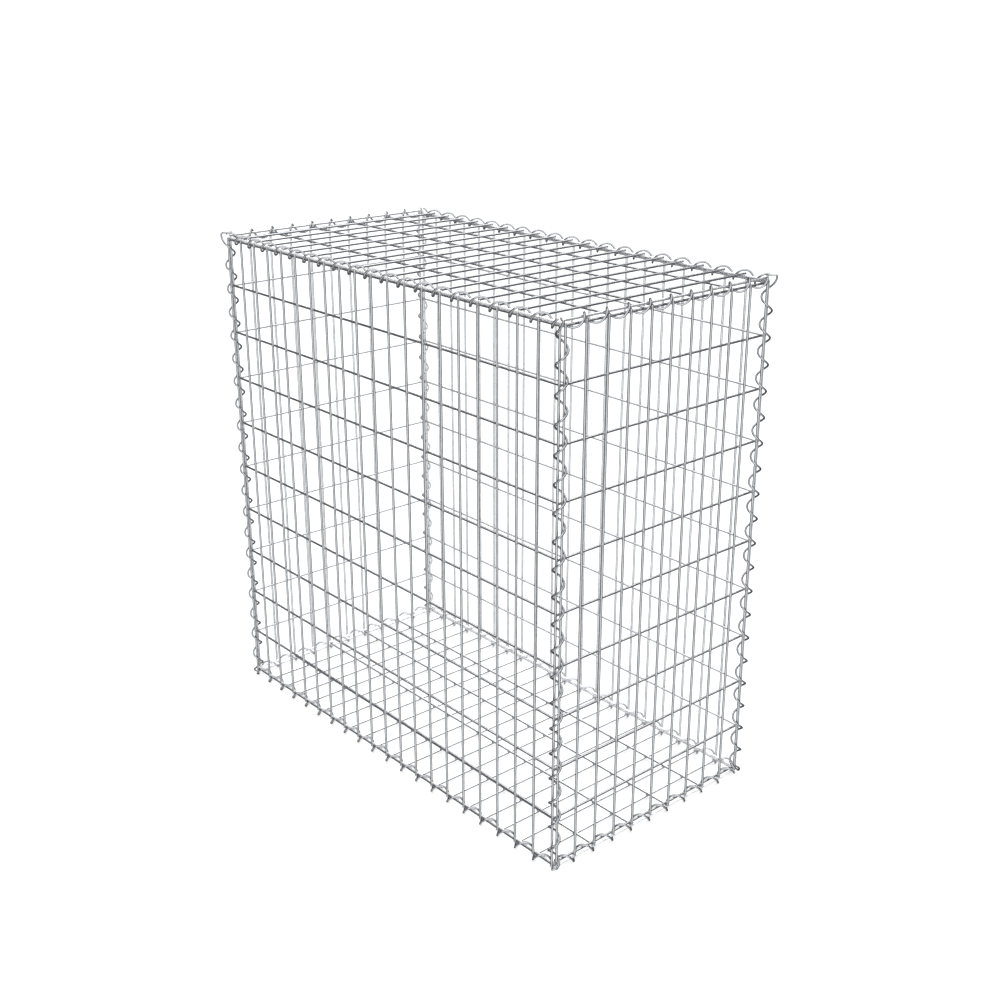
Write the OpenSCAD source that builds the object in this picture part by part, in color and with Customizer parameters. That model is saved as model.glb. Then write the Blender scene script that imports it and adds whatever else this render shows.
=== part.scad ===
// Welded mesh gabion basket, empty: six mesh panels laced along all twelve edges by spiral binders.
// Millimetres. X runs along the length, Y along the depth and Z up. The basket stands on z = 0.

/* [Basket] */
// Length along X, between the wide-set wires of the end panels
basket_l = 1000; // [500:50:2000]
// Depth along Y, between the wide-set wires of the front and back panels
basket_d = 500; // [300:50:1000]
// Height along Z, between the long wires of the base and the lid
basket_h = 1000; // [300:50:1200]

/* [Mesh] */
// Spacing of the close-set wires, which lie outside
mesh_close = 50; // [50:5:100]
// Spacing of the wide-set wires, which lie inside
mesh_wide = 100; // [100:5:150]
// Diameter of the mesh wire
mesh_wire = 4.5; // [3:0.25:4.75]
// How far two crossing wires sink into each other at a weld
weld_sink = 0.3; // [0.2:0.05:0.5]
// How far an upright runs past the first and last wire that crosses it
upright_end = 5; // [2:0.25:5.5]

/* [Binders] */
// Diameter of the binder wire
binder_wire = 4; // [3:0.25:4.5]
// Radius of the binder's centre line
binder_r = 10; // [9:0.5:13]
// Straight stretches in one turn of a binder
turn_steps = 9; // [8:1:10]

/* [Fit] */
// Free space between neighbouring pieces
clear = 0.3; // [0.2:0.05:0.5]

/* [Hidden] */
// Mesh wires are octagons with the area of the round wire
wire_sides = 8;
wire_corner = mesh_wire / 2 * sqrt(2 * PI / (wire_sides * sin(360 / wire_sides)));
wire_flat = wire_corner * cos(180 / wire_sides);
// Binder wires are squares with the area of the round wire
binder_half = binder_wire / 4 * sqrt(PI);

// Each span is divided into whole meshes
function meshes(span, step) = max(1, round(span / step));
close_count_l = meshes(basket_l, mesh_close);
close_step_l = basket_l / close_count_l;
wide_count_d = meshes(basket_d, mesh_wide);
wide_step_d = basket_d / wide_count_d;
close_count_d = wide_count_d * meshes(wide_step_d, mesh_close);
close_step_d = basket_d / close_count_d;
wide_count_h = meshes(basket_h, mesh_wide);
wide_step_h = basket_h / wide_count_h;
turn_pitch_h = wide_step_h / meshes(wide_step_h, mesh_close);

// From the wide-set layer of a panel to its close-set layer, welded
layer = 2 * wire_flat - weld_sink;
// Between two wires that lie side by side
beside = 2 * wire_flat + clear;
// Inner face of a panel's close-set layer, with room to spare
inner_room = layer - wire_flat - clear;
// How far a wire's end passes the middle of its last weld
weld_end = 0.6 * wire_flat;
upright_over = min(upright_end, beside + inner_room);

// Half lengths of the wide-set wires, which stop short of the neighbouring panel
long_half = basket_l / 2 + inner_room;
short_half = basket_d / 2 - wire_flat - clear;
// Edge wires that are pulled in to clear the neighbouring panel
end_edge = short_half - weld_end;
lid_edge = basket_d / 2 + inner_room - wire_flat;

// A binder's inside rests this far, axis to axis, from the edge wire that it bears on
seat = binder_r * cos(180 / turn_steps) - binder_half - wire_corner - clear;
// Which way each binder leans outward from the wire that it bears on
upright_lean = 27.5;
top_lean = 20.7;
bottom_lean = 22;
upright_x = basket_l / 2 + layer - seat * sin(upright_lean);
upright_y = end_edge + seat * cos(upright_lean);
top_out = seat * sin(top_lean);
top_z = basket_h - beside + seat * cos(top_lean);
bottom_x = basket_l / 2 + seat * sin(bottom_lean);
bottom_z = seat * cos(bottom_lean) - layer;
// The bottom binders on the length hold the base's edge wire and the wall's lowest wire
bottom_y = min(
    lid_edge + sqrt(max(0, seat * seat - bottom_z * bottom_z)),
    basket_d / 2 + sqrt(max(0, seat * seat - pow(beside - bottom_z, 2)))
);

// Height of the base's long wires when the bottom binders stand on z = 0
base_z = binder_r + binder_half - bottom_z;

// Binders on the depth stop short of those on the length
top_margin = 0.25 * binder_r;
bottom_margin = 1.1 * binder_r;

close_at_l = [for (i = [0:close_count_l]) i * close_step_l - basket_l / 2];
close_at_d = [for (i = [0:close_count_d])
    max(-end_edge, min(end_edge, i * close_step_d - basket_d / 2))];
wide_at_d = [for (i = [0:wide_count_d])
    max(-lid_edge, min(lid_edge, i * wide_step_d - basket_d / 2))];
wide_at_h = [for (i = [0:wide_count_h])
    max(beside, min(basket_h - beside, i * wide_step_h))];

zinc = [0.72, 0.73, 0.74];
zinc_dark = [0.60, 0.61, 0.63];

// One straight wire along X, centred
module wire(length) {
    rotate([0, 90, 0])
        rotate([0, 0, 180 / wire_sides])
            cylinder(r = wire_corner, h = length, center = true, $fn = wire_sides);
}

// A flat welded panel: close-set wires along Y on the outside (+Z), wide-set wires along X at z = 0
module mesh_panel(close_at, close_from, close_to, wide_at, wide_half) {
    color(zinc) {
        for (x = close_at)
            translate([x, (close_from + close_to) / 2, layer])
                rotate([0, 0, 90])
                    wire(close_to - close_from);
        for (y = wide_at)
            translate([0, y, 0])
                wire(2 * wide_half);
    }
}

module long_panel() {
    mesh_panel(close_at_l, beside - upright_over, basket_h - beside + upright_over,
        wide_at_h, long_half);
}

module end_panel() {
    mesh_panel(close_at_d, beside - upright_over, basket_h - beside + upright_over,
        wide_at_h, short_half);
}

module flat_panel() {
    reach = lid_edge + weld_end;
    mesh_panel(close_at_l, -reach, reach, wide_at_d, long_half);
}

module front_panel() {
    translate([0, -basket_d / 2, base_z]) rotate([90, 0, 0]) long_panel();
}

module back_panel() {
    translate([0, basket_d / 2, base_z]) rotate([90, 0, 180]) long_panel();
}

module left_panel() {
    translate([-basket_l / 2, 0, base_z]) rotate([90, 0, -90]) end_panel();
}

module right_panel() {
    translate([basket_l / 2, 0, base_z]) rotate([90, 0, 90]) end_panel();
}

module lid_panel() {
    translate([0, 0, base_z + basket_h]) flat_panel();
}

module base_panel() {
    translate([0, 0, base_z]) rotate([180, 0, 0]) flat_panel();
}

// Corners of the square section at height t, on the frame of the helix
function section(t, turn, slope) =
    let (
        out = [cos(turn), sin(turn), 0],
        side = [-sin(turn), cos(turn), -slope] / sqrt(1 + slope * slope),
        middle = binder_r * out + [0, 0, t]
    )
    [for (k = [[1, 1], [-1, 1], [-1, -1], [1, -1]])
        middle + binder_half * (k[0] * out + k[1] * side)];

// A helix along +Z. hand is 1 or -1, phase its angle at z = 0, and one ring lies at the angle low.
module binder(length, pitch, hand, phase, low, margin) {
    cell = pitch / turn_steps;
    raw = pitch * hand * (low - phase) / 360;
    shift = raw - cell * floor(raw / cell);
    first = ceil((margin - shift) / cell);
    last = floor((length - margin - shift) / cell);
    slope = hand * 2 * PI * binder_r / pitch;
    points = [for (i = [first:last])
        let (t = shift + cell * i)
        each section(t, phase + hand * 360 * t / pitch, slope)];
    end = len(points);
    sides = [for (i = [0:4:end - 8], k = [0:3])
        let (a = i + k, b = i + (k + 1) % 4)
        each hand > 0 ? [[a, a + 4, b], [a + 4, b + 4, b]] : [[a, a + 4, b + 4], [a, b + 4, b]]];
    color(zinc_dark)
        polyhedron(
            points = points,
            faces = concat([[0, 1, 2, 3]], sides, [[end - 1, end - 2, end - 3, end - 4]]),
            convexity = 10
        );
}

module upright_binder(x, y, hand, phase) {
    translate([x, y, base_z])
        binder(basket_h, turn_pitch_h, hand, phase, 0, 0);
}

module length_binder(y, z, hand, phase) {
    translate([-basket_l / 2, y, base_z + z])
        rotate([90, 0, 90])
            binder(basket_l, close_step_l, hand, phase, 270, 0);
}

module depth_binder(x, z, hand, phase, margin) {
    translate([x, -basket_d / 2, base_z + z])
        rotate([-90, -90, 0])
            binder(basket_d, close_step_d, hand, phase, 180, margin);
}

module binder_front_left() {
    upright_binder(-upright_x, -upright_y, -1, 190);
}

module binder_front_right() {
    upright_binder(upright_x, -upright_y, 1, 351);
}

module binder_back_left() {
    upright_binder(-upright_x, upright_y, 1, 172);
}

module binder_back_right() {
    upright_binder(upright_x, upright_y, -1, 4);
}

module binder_top_front() {
    length_binder(-basket_d / 2 - top_out, top_z, -1, 128);
}

module binder_top_back() {
    length_binder(basket_d / 2 + top_out, top_z, -1, 63);
}

module binder_top_left() {
    depth_binder(-basket_l / 2 - top_out, top_z, -1, 28, top_margin);
}

module binder_top_right() {
    depth_binder(basket_l / 2 + top_out, top_z, -1, 335, top_margin);
}

module binder_bottom_front() {
    length_binder(-bottom_y, bottom_z, -1, 270);
}

module binder_bottom_back() {
    length_binder(bottom_y, bottom_z, -1, 270);
}

module binder_bottom_left() {
    depth_binder(-bottom_x, bottom_z, 1, 167, bottom_margin);
}

module binder_bottom_right() {
    depth_binder(bottom_x, bottom_z, 1, 183, bottom_margin);
}

front_panel();
back_panel();
left_panel();
right_panel();
lid_panel();
base_panel();
binder_front_left();
binder_front_right();
binder_back_left();
binder_back_right();
binder_top_front();
binder_top_back();
binder_top_left();
binder_top_right();
binder_bottom_front();
binder_bottom_back();
binder_bottom_left();
binder_bottom_right();
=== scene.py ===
import math

import bpy
import numpy as np
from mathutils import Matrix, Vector


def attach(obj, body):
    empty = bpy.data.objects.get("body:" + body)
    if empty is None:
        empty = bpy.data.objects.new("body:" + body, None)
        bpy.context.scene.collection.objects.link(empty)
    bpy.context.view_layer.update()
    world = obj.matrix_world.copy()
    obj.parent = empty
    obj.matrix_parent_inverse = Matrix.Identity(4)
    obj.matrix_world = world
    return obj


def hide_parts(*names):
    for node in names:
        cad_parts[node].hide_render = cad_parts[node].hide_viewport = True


# Looks of the gabion basket: round galvanised wires, welds and spiral binders in a plain studio

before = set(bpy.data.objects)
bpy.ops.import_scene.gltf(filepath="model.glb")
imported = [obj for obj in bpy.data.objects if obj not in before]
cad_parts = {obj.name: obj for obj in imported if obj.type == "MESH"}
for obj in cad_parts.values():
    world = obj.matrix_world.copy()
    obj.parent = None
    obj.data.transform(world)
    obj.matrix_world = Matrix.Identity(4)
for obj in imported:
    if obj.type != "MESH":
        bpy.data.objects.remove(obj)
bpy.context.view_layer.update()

# Driving sizes of the basket, in metres, as in the part's source
BASKET_L, BASKET_D, BASKET_H = 1.0, 0.5, 1.0
MESH_CLOSE, MESH_WIDE = 0.05, 0.1
MESH_WIRE = 0.0045
BAR_SIDES = 8
WELD_SINK = 0.0003
UPRIGHT_END = 0.005
BINDER_WIRE = 0.004
BINDER_R = 0.010
TURN_STEPS = 9
CLEAR = 0.0003
# Which way the binders lean outward from the wires that they bear on
UPRIGHT_LEAN, TOP_LEAN, BOTTOM_LEAN = (math.radians(a) for a in (27.5, 20.7, 22.0))

# Sizes that follow from them
WIRE_CORNER = MESH_WIRE / 2 * math.sqrt(2 * math.pi / (BAR_SIDES * math.sin(2 * math.pi / BAR_SIDES)))
WIRE_FLAT = WIRE_CORNER * math.cos(math.pi / BAR_SIDES)
BINDER_HALF = BINDER_WIRE / 4 * math.sqrt(math.pi)
LAYER = 2 * WIRE_FLAT - WELD_SINK
BESIDE = 2 * WIRE_FLAT + CLEAR
INNER_ROOM = LAYER - WIRE_FLAT - CLEAR
WELD_END = 0.6 * WIRE_FLAT
LONG_HALF = BASKET_L / 2 + INNER_ROOM
SHORT_HALF = BASKET_D / 2 - WIRE_FLAT - CLEAR
END_EDGE = SHORT_HALF - WELD_END
LID_EDGE = BASKET_D / 2 + INNER_ROOM - WIRE_FLAT
SEAT = BINDER_R * math.cos(math.pi / TURN_STEPS) - BINDER_HALF - WIRE_CORNER - CLEAR
UPRIGHT_X = BASKET_L / 2 + LAYER - SEAT * math.sin(UPRIGHT_LEAN)
UPRIGHT_Y = END_EDGE + SEAT * math.cos(UPRIGHT_LEAN)
TOP_OUT = SEAT * math.sin(TOP_LEAN)
TOP_Z = BASKET_H - BESIDE + SEAT * math.cos(TOP_LEAN)
TOP_MARGIN = 0.25 * BINDER_R
BOTTOM_X = BASKET_L / 2 + SEAT * math.sin(BOTTOM_LEAN)
BOTTOM_Z = SEAT * math.cos(BOTTOM_LEAN) - LAYER
BOTTOM_Y = min(
    LID_EDGE + math.sqrt(SEAT**2 - BOTTOM_Z**2),
    BASKET_D / 2 + math.sqrt(SEAT**2 - (BESIDE - BOTTOM_Z) ** 2),
)
BOTTOM_MARGIN = 1.1 * BINDER_R
BASE_Z = BINDER_R + BINDER_HALF - BOTTOM_Z

# An upright binder ends at its foot in a flat hook, which lies this far below the helix
HOOK_DROP = 0.0005
# On top its helix stops this share of a turn before it would last point out from the corner
UNWOUND_EXTRA = 0.2
# Its end then bends to a tip, which lies this far out from the binder's axis and above the lid's long wires
TIP_REACH = 0.0150
TIP_RISE = 0.0090
# The bend is pulled this far straight on from the helix, then towards a place below and outside the tip
TIP_PULL = 0.007
TIP_UPRIGHT = 0.011
TIP_SWING = 0.0018

# How finely the wires are drawn: sides, rings in one turn and in a bent end, and the bevel of a cut end
WIRE_SIDES = 14
BINDER_SIDES = 14
BINDER_RINGS = 36
END_RINGS = BINDER_RINGS // 2
CUT_BEVEL = 0.0004
CUT_SHRINK = 0.7 * CUT_BEVEL
# Rings of a wire before and after a weld, and how far its scorch spreads
WELD_RINGS = (-0.0080, -0.0045, -0.0025, -0.0012, 0.0, 0.0012, 0.0025, 0.0045, 0.0080)
WELD_SPREAD = 0.0030
# The collar of a weld: half sizes, how much they vary, how square it is, and how finely it is drawn
NUGGET_SIZE = (0.0026, 0.0026, 0.0016)
NUGGET_VARY = (0.92, 1.12)
NUGGET_SQUARE = 0.10
NUGGET_ROWS, NUGGET_COLUMNS = 5, 10
# Each wire's streaks start at a place of their own along a run of this length
STREAK_RUN = 50

SEED = 7
rng = np.random.default_rng(SEED)


class MeshParts:
    """Vertices, faces, UVs and the marks of one piece, gathered from its wires: weld scorch, cut ends and a
    painted highlight on edge wires.
    """

    def __init__(self):
        self.verts = []
        self.faces = []
        self.uvs = []
        self.weld = []
        self.cut = []
        # Share of a painted highlight at each point: edge wires painted pale as if the overhead light fell
        # on them
        self.painted_light = []
        self.count = 0

    def add(self, verts, faces, uvs, weld, cut, painted_light):
        self.verts.append(verts)
        self.faces.extend([tuple(i + self.count for i in f) for f in faces])
        self.uvs.extend(uvs)
        self.weld.append(weld)
        self.cut.append(cut)
        self.painted_light.append(np.full(len(verts), painted_light))
        self.count += len(verts)

    def build(self, name):
        mesh = bpy.data.meshes.new(name)
        verts = np.concatenate(self.verts)
        mesh.from_pydata(verts.tolist(), [], self.faces)
        uv = mesh.uv_layers.new(name="along")
        uv.data.foreach_set("uv", np.array(self.uvs, np.float32).ravel())
        for key, values in (("weld", self.weld), ("cut", self.cut), ("painted_light", self.painted_light)):
            layer = mesh.attributes.new(key, "FLOAT", "POINT")
            layer.data.foreach_set("value", np.concatenate(values).astype(np.float32))
        mesh.polygons.foreach_set("use_smooth", [True] * len(mesh.polygons))
        mesh.update()
        piece = bpy.data.objects.new(name, mesh)
        bpy.context.scene.collection.objects.link(piece)
        return piece


def ring_faces(rings, sides):
    """The faces between each ring of points and the next one."""
    faces = []
    for a in range(0, (rings - 1) * sides, sides):
        b = a + sides
        for k in range(sides):
            k2 = (k + 1) % sides
            faces.append((a + k, a + k2, b + k2, b + k))
    return faces


def tube(parts, path, radius, weld, sides, painted_light):
    """A round wire along path (n x 3), with its radius and weld mark at each ring, and cut ends."""
    n = len(path)
    tangent = np.gradient(path, axis=0)
    tangent /= np.linalg.norm(tangent, axis=1)[:, None]
    # The rings are turned from a direction that isn't along the wire
    helper = np.array([0.0, 0.0, 1.0])
    if abs(tangent[0] @ helper) > 0.9:
        helper = np.array([1.0, 0.0, 0.0])
    side = np.cross(tangent[0], helper)
    first = []
    for t in tangent:
        side = side - t * (side @ t)
        side = side / np.linalg.norm(side)
        first.append(side)
    first = np.array(first)
    second = np.cross(tangent, first)
    angle = np.linspace(0, 2 * np.pi, sides, endpoint=False)[None, :, None]
    ring = np.cos(angle) * first[:, None] + np.sin(angle) * second[:, None]
    verts = (path[:, None] + radius[:, None, None] * ring).reshape(-1, 3)
    along = np.concatenate([[0], np.cumsum(np.linalg.norm(np.diff(path, axis=0), axis=1))])
    along = along + rng.uniform(0, STREAK_RUN)
    faces = ring_faces(n, sides)
    uvs = []
    for a, b in zip(along, along[1:]):
        for k in range(sides):
            uvs += [(a, k / sides), (a, (k + 1) / sides), (b, (k + 1) / sides), (b, k / sides)]
    faces.append(tuple(reversed(range(sides))))
    faces.append(tuple(range((n - 1) * sides, n * sides)))
    uvs += [(along[0], 0.5)] * sides + [(along[-1], 0.5)] * sides
    cut = np.zeros(n)
    cut[[0, -1]] = 1
    parts.add(verts, faces, uvs, np.repeat(weld, sides), np.repeat(cut, sides), painted_light)


def straight_wire(parts, start, end, wire_radius, crossings, place, painted_light):
    """One mesh wire from start to end in the panel's plane, with rings set close round each weld."""
    start, end = np.array(start), np.array(end)
    length = np.linalg.norm(end - start)
    at = [0.0, CUT_BEVEL, length - CUT_BEVEL, length]
    at += [c + d for c in crossings for d in WELD_RINGS if CUT_BEVEL < c + d < length - CUT_BEVEL]
    at = np.unique(np.round(at, 6))
    near = np.min(np.abs(at[:, None] - np.array(crossings)[None]), axis=1)
    weld = np.exp(-(near / WELD_SPREAD) ** 2)
    radius = np.full(len(at), wire_radius)
    radius[[0, -1]] -= CUT_SHRINK
    path = start + (end - start) * (at / length)[:, None]
    tube(parts, place(path), radius, weld, WIRE_SIDES, painted_light)


def weld_nugget(parts, centre, place, painted_light):
    """The low collar of zinc and steel where two wires are welded."""
    rows, columns = NUGGET_ROWS, NUGGET_COLUMNS
    size = np.array(NUGGET_SIZE) * rng.uniform(*NUGGET_VARY, 3)
    turn = rng.uniform(0, np.pi)
    verts = []
    for r in range(rows + 1):
        lat = np.pi * r / rows - np.pi / 2
        for c in range(columns):
            lon = 2 * np.pi * c / columns + turn
            square = 1 + NUGGET_SQUARE * np.cos(4 * lon)
            x = np.cos(lat) * np.cos(lon) * square
            y = np.cos(lat) * np.sin(lon) * square
            verts.append((x, y, np.sin(lat)))
    verts = place(np.array(centre) + np.array(verts) * size)
    uvs = []
    for r in range(rows):
        for c in range(columns):
            uvs += [(c / columns, r / rows)] * 4
    faces = ring_faces(rows + 1, columns)
    parts.add(verts, faces, uvs, np.ones(len(verts)), np.zeros(len(verts)), painted_light)


def steps(span, step, edge=None):
    """Even places across span, centred on zero, with the outermost pulled in to edge."""
    count = round(span / step)
    at = np.arange(count + 1) * span / count - span / 2
    return at if edge is None else np.clip(at, -edge, edge)


def mesh_panel(name, sizes, place, painted_light_close, painted_light_wide):
    """A welded panel: close-set wires along y on the outside (+z), wide-set wires along x at z = 0.

    The photograph shows the close-set wires thicker, so they reach the corners of the solids' bars,
    and the others their flats.
    """
    close_at, close_from, close_to, wide_at, wide_half = sizes
    # Edge wires that get a painted highlight, painted as pale as if the overhead light fell on them: the
    # two outermost close-set wires and the listed wide-set rows
    painted_light_rows = [i % len(wide_at) for i in painted_light_wide]
    parts = MeshParts()
    for i, x in enumerate(close_at):
        painted_light = painted_light_close * (i in (0, len(close_at) - 1))
        ends = (x, close_from, LAYER), (x, close_to, LAYER)
        straight_wire(parts, *ends, WIRE_CORNER, wide_at - close_from, place, painted_light)
    for i, y in enumerate(wide_at):
        ends = (-wide_half, y, 0), (wide_half, y, 0)
        straight_wire(parts, *ends, WIRE_FLAT, close_at + wide_half, place, i in painted_light_rows)
    for x in close_at:
        for i, y in enumerate(wide_at):
            weld_nugget(parts, (x, y, LAYER / 2), place, i in painted_light_rows)
    return parts.build(name)


def placed(axes, origin):
    """A map from panel coordinates to the basket's, given where its x, y and z axes point."""
    turn = np.array(axes, float)
    return lambda points: np.asarray(points) @ turn + np.array(origin)


def helix(start, axis, length, pitch, hand, phase, margin):
    """Points of a binder's centre line along one axis of the basket."""
    turns = (length - 2 * margin) / pitch
    t = np.linspace(margin, length - margin, int(turns * BINDER_RINGS) + 1)
    angle = math.radians(phase) + hand * 2 * math.pi * t / pitch
    path = np.tile(np.array(start, float), (len(t), 1))
    path[:, axis] += t
    path[:, (axis + 1) % 3] += BINDER_R * np.cos(angle)
    path[:, (axis + 2) % 3] += BINDER_R * np.sin(angle)
    return path


def smooth_run(points):
    """A smooth curve from the first point to the last, pulled towards the ones between."""
    t = np.linspace(0, 1, END_RINGS)[:, None]
    points = [np.array(p, float) for p in points]
    while len(points) > 1:
        points = [(1 - t) * a + t * b for a, b in zip(points, points[1:])]
    return points[0]


def corner_tip(sx, sy, aside):
    """Where the ends of two binders meet, out from a top corner, with room for them side by side."""
    start = np.array((sx * UPRIGHT_X, sy * UPRIGHT_Y, BASE_Z + BASKET_H + TIP_RISE))
    return start + (np.array((sx, sy, 0)) * TIP_REACH + np.array((-sy, sx, 0)) * aside) / math.sqrt(2)


def upright_path(sx, sy, hand, phase, hook_turn):
    """An upright binder: a flat hook round the foot of its corner, the helix, and an end bent outward."""
    start = np.array((sx * UPRIGHT_X, sy * UPRIGHT_Y, BASE_Z))
    hook = np.radians(np.linspace(hook_turn, 0, END_RINGS, endpoint=False))
    angle = math.radians(phase) - hand * hook
    drop = HOOK_DROP * np.tanh(hook)
    flat = start + np.stack([BINDER_R * np.cos(angle), BINDER_R * np.sin(angle), -drop], axis=1)
    outward = math.degrees(math.atan2(sy, sx))
    unwound = (hand * (phase - outward) % 360 / 360 + UNWOUND_EXTRA) * MESH_CLOSE
    coil = helix(start, 2, BASKET_H - unwound, MESH_CLOSE, hand, phase, 0)
    onward = coil[-1] - coil[-2]
    pull = coil[-1] + onward / np.linalg.norm(onward) * TIP_PULL
    tip = corner_tip(sx, sy, BINDER_WIRE / 2)
    below = tip + np.array((sx * TIP_SWING, sy * TIP_SWING, -TIP_UPRIGHT))
    bent = smooth_run((coil[-1], pull, below, tip))
    return np.concatenate([flat, coil, bent[1:]])


def binder(name, path):
    """One binder's wire along its centre line."""
    parts = MeshParts()
    radius = np.full(len(path), BINDER_WIRE / 2)
    radius[[0, -1]] -= CUT_SHRINK
    tube(parts, path, radius, np.zeros(len(path)), BINDER_SIDES, False)
    return parts.build(name)


# The zinc of the wires

# Colours of its weld scorch, darker and lighter, of the painted highlight on edge wires (pale, as if lit
# from above), darker and lighter, and of the steel at a cut end
SCORCHED = (0.18, 0.18, 0.19), (0.30, 0.30, 0.31)
PAINTED_LIGHT_GREY = (0.76, 0.76, 0.77), (0.88, 0.88, 0.89)
BARE_STEEL = (0.40, 0.40, 0.40)
# How rough a scorched place is, as a grey
SCORCHED_ROUGH = (0.62, 0.62, 0.62)
# The mix node's colour sockets
MIX_A, MIX_B, MIX_OUT = 6, 7, 2


class Nodes:
    """Shorthand for the nodes of one material."""

    def __init__(self, name):
        self.material = bpy.data.materials.new(name)
        self.material.use_nodes = True
        self.tree = self.material.node_tree
        self.shader = self.tree.nodes["Principled BSDF"]

    def new(self, kind, **values):
        node = self.tree.nodes.new(kind)
        for key, value in values.items():
            if key in node.inputs:
                node.inputs[key].default_value = value
            else:
                setattr(node, key, value)
        return node

    def link(self, out, into):
        self.tree.links.new(out, into)

    def ramp(self, source, *stops):
        """Source turned into greys or colours, from one stop (place and value) to the other."""
        node = self.new("ShaderNodeValToRGB")
        for element, (place, value) in zip(node.color_ramp.elements, stops):
            element.position = place
            element.color = (*value, 1) if isinstance(value, tuple) else (value, value, value, 1)
        self.link(source, node.inputs["Fac"])
        return node.outputs["Color"]

    def mix(self, factor, a, b):
        node = self.new("ShaderNodeMix", data_type="RGBA")
        if isinstance(factor, float):
            node.inputs["Factor"].default_value = factor
        else:
            self.link(factor, node.inputs["Factor"])
        for value, socket in ((a, node.inputs[MIX_A]), (b, node.inputs[MIX_B])):
            if isinstance(value, tuple):
                socket.default_value = (*value, 1)
            else:
                self.link(value, socket)
        return node.outputs[MIX_OUT]


def zinc(name, light, dark, rough_low, rough_high, marked):
    """Galvanised wire: mottled zinc with faint streaks and bare cut ends.

    Marked wire is also scorched where it is welded, and painted pale and less metallic on its edge wires, a
    painted highlight as if lit from above.
    """
    m = Nodes(name)
    place = m.new("ShaderNodeTexCoord")
    mottle = m.new("ShaderNodeTexNoise", Scale=70.0, Detail=5.0, Roughness=0.6)
    m.link(place.outputs["Object"], mottle.inputs["Vector"])
    stretch = m.new("ShaderNodeMapping", Scale=(25.0, 6.0, 1.0))
    m.link(place.outputs["UV"], stretch.inputs["Vector"])
    streak = m.new("ShaderNodeTexNoise", Scale=1.0, Detail=6.0, Roughness=0.55)
    m.link(stretch.outputs["Vector"], streak.inputs["Vector"])
    patches = m.ramp(mottle.outputs["Fac"], (0.30, dark), (0.62, light))
    lines = m.ramp(streak.outputs["Fac"], (0.30, dark), (0.70, light))
    body = m.mix(0.45, patches, lines)
    rough = m.ramp(streak.outputs["Fac"], (0.25, rough_low), (0.75, rough_high))
    m.shader.inputs["Metallic"].default_value = 1.0
    if marked:
        weld = m.new("ShaderNodeAttribute", attribute_name="weld")
        burnt = m.ramp(mottle.outputs["Fac"], (0.35, SCORCHED[0]), (0.65, SCORCHED[1]))
        scorch = m.ramp(weld.outputs["Fac"], (0.25, 0.0), (1.0, 0.4))
        # Painted highlight: where the edge-wire attribute is set, the zinc is painted pale and made less
        # metallic, as if lit from above
        painted_light = m.new("ShaderNodeAttribute", attribute_name="painted_light")
        lit_paint = m.ramp(mottle.outputs["Fac"], (0.30, PAINTED_LIGHT_GREY[0]), (0.62, PAINTED_LIGHT_GREY[1]))
        lit_paint_mask = m.ramp(painted_light.outputs["Fac"], (0.2, 0.0), (0.8, 0.9))
        body = m.mix(lit_paint_mask, m.mix(scorch, body, burnt), lit_paint)
        rough = m.mix(scorch, rough, SCORCHED_ROUGH)
        metallic = m.ramp(painted_light.outputs["Fac"], (0.2, 1.0), (0.8, 0.3))
        m.link(metallic, m.shader.inputs["Metallic"])
    cut = m.new("ShaderNodeAttribute", attribute_name="cut")
    bare = m.ramp(cut.outputs["Fac"], (0.55, 0.0), (0.9, 1.0))
    m.link(m.mix(bare, body, BARE_STEEL), m.shader.inputs["Base Color"])
    m.link(rough, m.shader.inputs["Roughness"])
    fine = m.new("ShaderNodeTexNoise", Scale=420.0, Detail=3.0)
    m.link(place.outputs["Object"], fine.inputs["Vector"])
    bump = m.new("ShaderNodeBump", Strength=0.12, Distance=0.0003)
    m.link(fine.outputs["Fac"], bump.inputs["Height"])
    m.link(bump.outputs["Normal"], m.shader.inputs["Normal"])
    return m.material


mesh_zinc = zinc("mesh_zinc", (0.547, 0.56, 0.575), (0.39, 0.40, 0.413), 0.11, 0.22, marked=True)
binder_zinc = zinc("binder_zinc", (0.332, 0.344, 0.36), (0.254, 0.263, 0.274), 0.12, 0.22, marked=False)

# Every piece by its node, for the lights to fall on
pieces = {}


def finish_piece(piece, node, material):
    """Paint a piece and say which node it shows."""
    pieces[node] = piece
    piece.data.materials.append(material)
    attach(piece, "root")
    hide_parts(node)


# The six panels

upright_from = BESIDE - UPRIGHT_END
upright_to = BASKET_H - BESIDE + UPRIGHT_END
level_at = np.clip(steps(BASKET_H, MESH_WIDE) + BASKET_H / 2, BESIDE, BASKET_H - BESIDE)
close_l = steps(BASKET_L, MESH_CLOSE)
close_d = steps(BASKET_D, MESH_CLOSE, END_EDGE)
wide_d = steps(BASKET_D, MESH_WIDE, LID_EDGE)
lid_reach = LID_EDGE + WELD_END

# Places and ends of the close-set wires, then places and half length of the wide-set ones
LONG_SIDE = (close_l, upright_from, upright_to, level_at, LONG_HALF)
END_SIDE = (close_d, upright_from, upright_to, level_at, SHORT_HALF)
FLAT_SIDE = (close_l, -lid_reach, lid_reach, wide_d, LONG_HALF)
X, Y, Z = np.eye(3)
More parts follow.
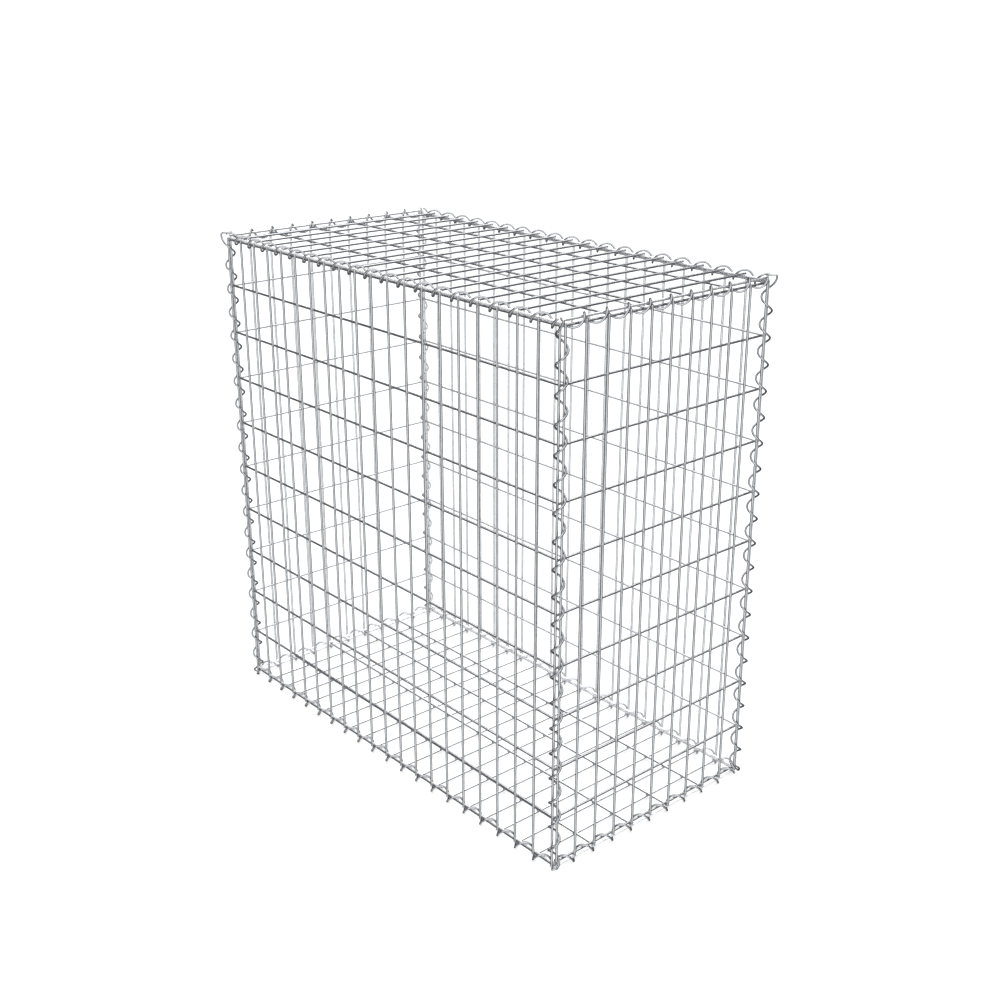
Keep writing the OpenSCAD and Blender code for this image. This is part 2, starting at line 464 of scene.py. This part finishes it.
# Each panel's wires, axes and origin, how strongly its two outermost close-set wires get a painted
# highlight (painted pale as if lit from above), and which of its wide-set wires get it
PANELS = {
    "front_panel": (LONG_SIDE, (X, Z, -Y), (0, -BASKET_D / 2, BASE_Z), 0, (0,)),
    "back_panel": (LONG_SIDE, (-X, Z, Y), (0, BASKET_D / 2, BASE_Z), 0, (0,)),
    "left_panel": (END_SIDE, (-Y, Z, -X), (-BASKET_L / 2, 0, BASE_Z), 0, (0,)),
    "right_panel": (END_SIDE, (Y, Z, X), (BASKET_L / 2, 0, BASE_Z), 0, ()),
    "lid_panel": (FLAT_SIDE, (X, Y, Z), (0, 0, BASE_Z + BASKET_H), 0.45, (0, -1)),
    "base_panel": (FLAT_SIDE, (X, -Y, -Z), (0, 0, BASE_Z), 0.9, (0,)),
}
for node, (sizes, axes, origin, painted_light_close, painted_light_wide) in PANELS.items():
    panel = mesh_panel(node + "_wires", sizes, placed(axes, origin), painted_light_close, painted_light_wide)
    finish_piece(panel, node, mesh_zinc)

# The twelve binders, with hand and phase as in the part's source

# Which side along x and y, hand, phase, and how far the hook at the foot turns, in degrees
UPRIGHTS = {
    "binder_front_left": (-1, -1, -1, 190, 145),
    "binder_front_right": (1, -1, 1, 351, 40),
    "binder_back_left": (-1, 1, 1, 172, 145),
    "binder_back_right": (1, 1, -1, 4, 145),
}
# Place of the axis along y and z, hand and phase
LENGTHWISE = {
    "binder_top_front": (-BASKET_D / 2 - TOP_OUT, TOP_Z, -1, 128),
    "binder_top_back": (BASKET_D / 2 + TOP_OUT, TOP_Z, -1, 63),
    "binder_bottom_front": (-BOTTOM_Y, BOTTOM_Z, -1, 270),
    "binder_bottom_back": (BOTTOM_Y, BOTTOM_Z, -1, 270),
}
# Place of the axis along x and z, hand, phase, and how far the helix stops short at each end
DEPTHWISE = {
    "binder_top_left": (-BASKET_L / 2 - TOP_OUT, TOP_Z, -1, 28, TOP_MARGIN),
    "binder_top_right": (BASKET_L / 2 + TOP_OUT, TOP_Z, -1, 335, TOP_MARGIN),
    "binder_bottom_left": (-BOTTOM_X, BOTTOM_Z, 1, 167, BOTTOM_MARGIN),
    "binder_bottom_right": (BOTTOM_X, BOTTOM_Z, 1, 183, BOTTOM_MARGIN),
}
paths = {}
for node, way in UPRIGHTS.items():
    paths[node] = upright_path(*way)
for node, (y, z, hand, phase) in LENGTHWISE.items():
    paths[node] = helix((-BASKET_L / 2, y, BASE_Z + z), 0, BASKET_L, MESH_CLOSE, hand, phase, 0)
for node, (x, z, hand, phase, margin) in DEPTHWISE.items():
    paths[node] = helix((x, -BASKET_D / 2, BASE_Z + z), 1, BASKET_D, MESH_CLOSE, hand, phase, margin)

# One end of the top left and of the top right binder runs out to meet an upright binder's tip
left, right = paths["binder_top_left"], paths["binder_top_right"]
left_end = smooth_run((corner_tip(-1, -1, -BINDER_WIRE / 2), left[0], left[1]))
right_end = smooth_run((right[-2], right[-1], corner_tip(1, 1, -BINDER_WIRE / 2)))
paths["binder_top_left"] = np.concatenate([left_end, left[2:]])
paths["binder_top_right"] = np.concatenate([right[:-2], right_end])
for node, path in paths.items():
    finish_piece(binder(node + "_wire", path), node, binder_zinc)


# Floor, light and camera

# The photograph's camera: degrees, metres, and its focal length as a share of the picture's width
CAMERA_AZIMUTH, CAMERA_ELEVATION = 49.110, 20.782
CAMERA_DISTANCE, CAMERA_SLIDE, CAMERA_LIFT = 2.8141, 0.0421, 0.0011
FOCAL_SHARE = 1.3733
# The grey that the wires reflect, the floor's own grey and how brightly it glows
SURROUNDINGS = (0.176, 0.179, 0.188)
FLOOR_PAINT = (0.45, 0.45, 0.45, 1)
FLOOR_GLOW = 0.6
WHITE = (1, 1, 1, 1)
# How far off the lights stand, and half the floor's side
LIGHT_DISTANCE = 5
FLOOR_HALF = 300


def studio_floor():
    """A plain white floor under the basket, which the wires don't reflect."""
    mesh = bpy.data.meshes.new("floor")
    corners = [(x * FLOOR_HALF, y * FLOOR_HALF, 0) for x, y in ((-1, -1), (1, -1), (1, 1), (-1, 1))]
    mesh.from_pydata(corners, [], [(0, 1, 2, 3)])
    floor = bpy.data.objects.new("floor", mesh)
    bpy.context.scene.collection.objects.link(floor)
    m = Nodes("floor_paint")
    m.shader.inputs["Base Color"].default_value = FLOOR_PAINT
    m.shader.inputs["Emission Color"].default_value = WHITE
    m.shader.inputs["Emission Strength"].default_value = FLOOR_GLOW
    m.shader.inputs["Roughness"].default_value = 0.9
    m.shader.inputs["Specular IOR Level"].default_value = 0.1
    mesh.materials.append(m.material)
    floor.visible_diffuse = False
    floor.visible_glossy = False
    floor.visible_shadow = False
    return floor


def towards(azimuth, elevation):
    """The way from the basket to what stands on the side that azimuth says, counted from the front."""
    a, e = math.radians(azimuth), math.radians(elevation)
    return Vector((math.sin(a) * math.cos(e), -math.cos(a) * math.cos(e), math.sin(e)))


def soft_light(name, azimuth, elevation, strength, spread, nodes):
    """A wide, even light from one side, which falls on the pieces of some nodes."""
    data = bpy.data.lights.new(name, "SUN")
    data.energy = strength
    data.angle = math.radians(spread)
    light = bpy.data.objects.new(name, data)
    source = towards(azimuth, elevation)
    light.location = source * LIGHT_DISTANCE
    light.rotation_euler = source.to_track_quat("Z", "Y").to_euler()
    bpy.context.scene.collection.objects.link(light)
    lit = bpy.data.collections.new(name + "_lit")
    for node in nodes:
        lit.objects.link(pieces[node])
    light.light_linking.receiver_collection = lit


def studio_world():
    """Dim grey surroundings for the wires to reflect, in front of a white backdrop."""
    world = bpy.data.worlds.new("studio")
    world.use_nodes = True
    tree = world.node_tree
    backdrop = tree.nodes["Background"]
    backdrop.inputs["Color"].default_value = WHITE
    room = tree.nodes.new("ShaderNodeBackground")
    room.inputs["Color"].default_value = (*SURROUNDINGS, 1)
    path = tree.nodes.new("ShaderNodeLightPath")
    mix = tree.nodes.new("ShaderNodeMixShader")
    tree.links.new(path.outputs["Is Camera Ray"], mix.inputs[0])
    tree.links.new(room.outputs[0], mix.inputs[1])
    tree.links.new(backdrop.outputs[0], mix.inputs[2])
    tree.links.new(mix.outputs[0], tree.nodes["World Output"].inputs["Surface"])
    bpy.context.scene.world = world


def studio_camera():
    """The photograph's camera, level, and aimed past the basket's axis by its slide and lift."""
    back = towards(CAMERA_AZIMUTH, CAMERA_ELEVATION)
    right = Vector((-back.y, back.x, 0)).normalized()
    up = back.cross(right)
    middle = Vector((0, 0, BASE_Z + BASKET_H / 2))
    data = bpy.data.cameras.new("camera")
    data.lens = data.sensor_width * FOCAL_SHARE
    camera = bpy.data.objects.new("camera", data)
    camera.location = middle + back * CAMERA_DISTANCE + right * CAMERA_SLIDE + up * CAMERA_LIFT
    camera.rotation_euler = back.to_track_quat("Z", "Y").to_euler()
    bpy.context.scene.collection.objects.link(camera)
    bpy.context.scene.camera = camera


FAR_BINDERS = ("binder_back_left", "binder_bottom_back", "binder_bottom_left")
FAR_WALLS = ("back_panel", "left_panel", *FAR_BINDERS)
# Each light's azimuth and elevation in degrees, strength, spread in degrees, and what it falls on
LIGHTS = {
    "overhead": (0, 90, 5.0, 100, (*PANELS, "floor")),
    "bounce": (CAMERA_AZIMUTH, -CAMERA_ELEVATION, 2.0, 95, PANELS),
    "binder_overhead": (0, 90, 3.4, 100, paths),
    "binder_key": (CAMERA_AZIMUTH, 15, 1.5, 60, (*paths, "lid_panel")),
    "binder_bounce": (30, -45, 1.8, 100, paths),
    "binder_fill": (CAMERA_AZIMUTH, 0, 0.55, 180, paths),
    "far_front": (CAMERA_AZIMUTH, CAMERA_ELEVATION, 1.65, 180, FAR_WALLS),
    "far_back": (CAMERA_AZIMUTH + 180, -CAMERA_ELEVATION, 1.65, 180, FAR_WALLS),
    "far_binders": (CAMERA_AZIMUTH, CAMERA_ELEVATION, 3.0, 180, FAR_BINDERS),
    "base_fill": (180, 30, 4.6, 120, ("base_panel",)),
}
pieces["floor"] = studio_floor()
studio_world()
for name, values in LIGHTS.items():
    soft_light(name, *values)
studio_camera()
bpy.context.scene.view_settings.view_transform = "Standard"
